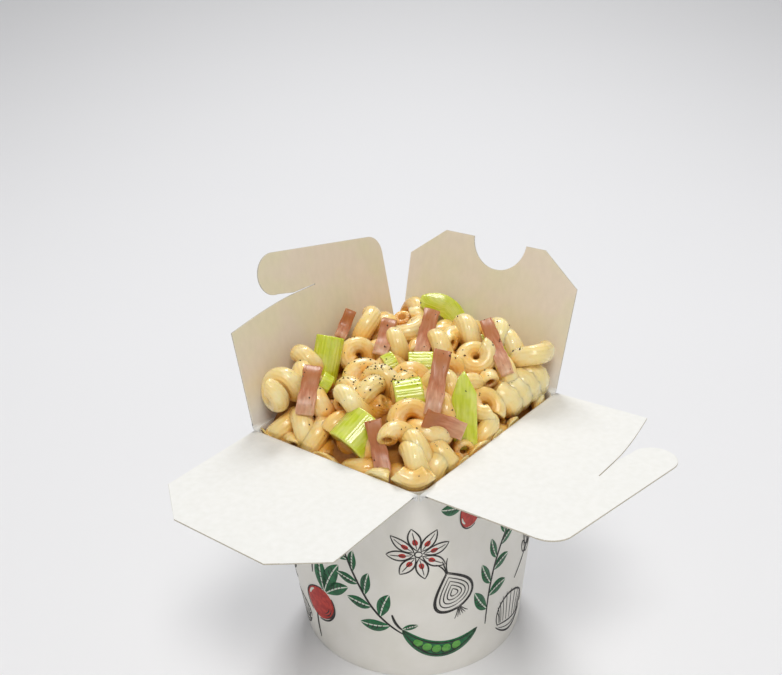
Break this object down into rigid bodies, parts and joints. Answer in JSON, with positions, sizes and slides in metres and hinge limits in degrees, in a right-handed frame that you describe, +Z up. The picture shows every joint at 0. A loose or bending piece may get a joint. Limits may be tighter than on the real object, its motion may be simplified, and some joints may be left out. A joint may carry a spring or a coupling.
{
  "type": "takeaway box of macaroni",
  "caption": "Open paperboard takeaway box with a round base and four lid flaps, heaped with corkscrew macaroni in pale sauce, ham strips and celery.",
  "frame": {"origin": "centre of the underside of the box", "axes": "+Z up; +X towards the hooked flap that lies open, +Y towards the raised flap with the thumb notch"},
  "size_m": [0.1581, 0.1699, 0.1583],
  "materials": {
    "board": "coated paperboard, satin outside, plain white inside",
    "macaroni": "boiled pasta, wet with pale cream sauce",
    "ham": "cooked ham, moist",
    "celery": "blanched celery stalk, moist and slightly translucent"
  },
  "bodies": {
    "box_and_food": {"box": "board", "macaroni_heap": "macaroni", "ham_strip_1": "ham", "ham_strip_2": "ham", "ham_strip_3": "ham", "ham_strip_4": "ham", "ham_strip_5": "ham", "ham_strip_6": "ham", "ham_strip_7": "ham", "ham_strip_8": "ham", "celery_piece_1": "celery", "celery_piece_2": "celery", "celery_piece_3": "celery", "celery_piece_4": "celery", "celery_piece_5": "celery", "celery_piece_6": "celery", "celery_piece_7": "celery", "celery_piece_8": "celery", "celery_piece_9": "celery", "celery_slice": "celery"},
    "flap_back_left": {"flap_back_left": "board"},
    "flap_front_right": {"flap_front_right": "board"},
    "flap_back_right": {"flap_back_right": "board"},
    "flap_front_left": {"flap_front_left": "board"}
  },
  "joints": [
    {"name": "fold_back_left", "type": "hinge", "parent": "box_and_food", "child": "flap_back_left", "pos_m": [-0.0412, 0, 0.0955], "axis": [0, 1, 0], "range_deg": [-164, 0]},
    {"name": "fold_front_right", "type": "hinge", "parent": "box_and_food", "child": "flap_front_right", "pos_m": [0.0412, 0, 0.0955], "axis": [0, -1, 0], "range_deg": [-86.5, 83.5]},
    {"name": "fold_back_right", "type": "hinge", "parent": "box_and_food", "child": "flap_back_right", "pos_m": [0, 0.0487, 0.0955], "axis": [1, 0, 0], "range_deg": [-162, 0]},
    {"name": "fold_front_left", "type": "hinge", "parent": "box_and_food", "child": "flap_front_left", "pos_m": [0, -0.0487, 0.0955], "axis": [-1, 0, 0], "range_deg": [-86, 87]}
  ]
}
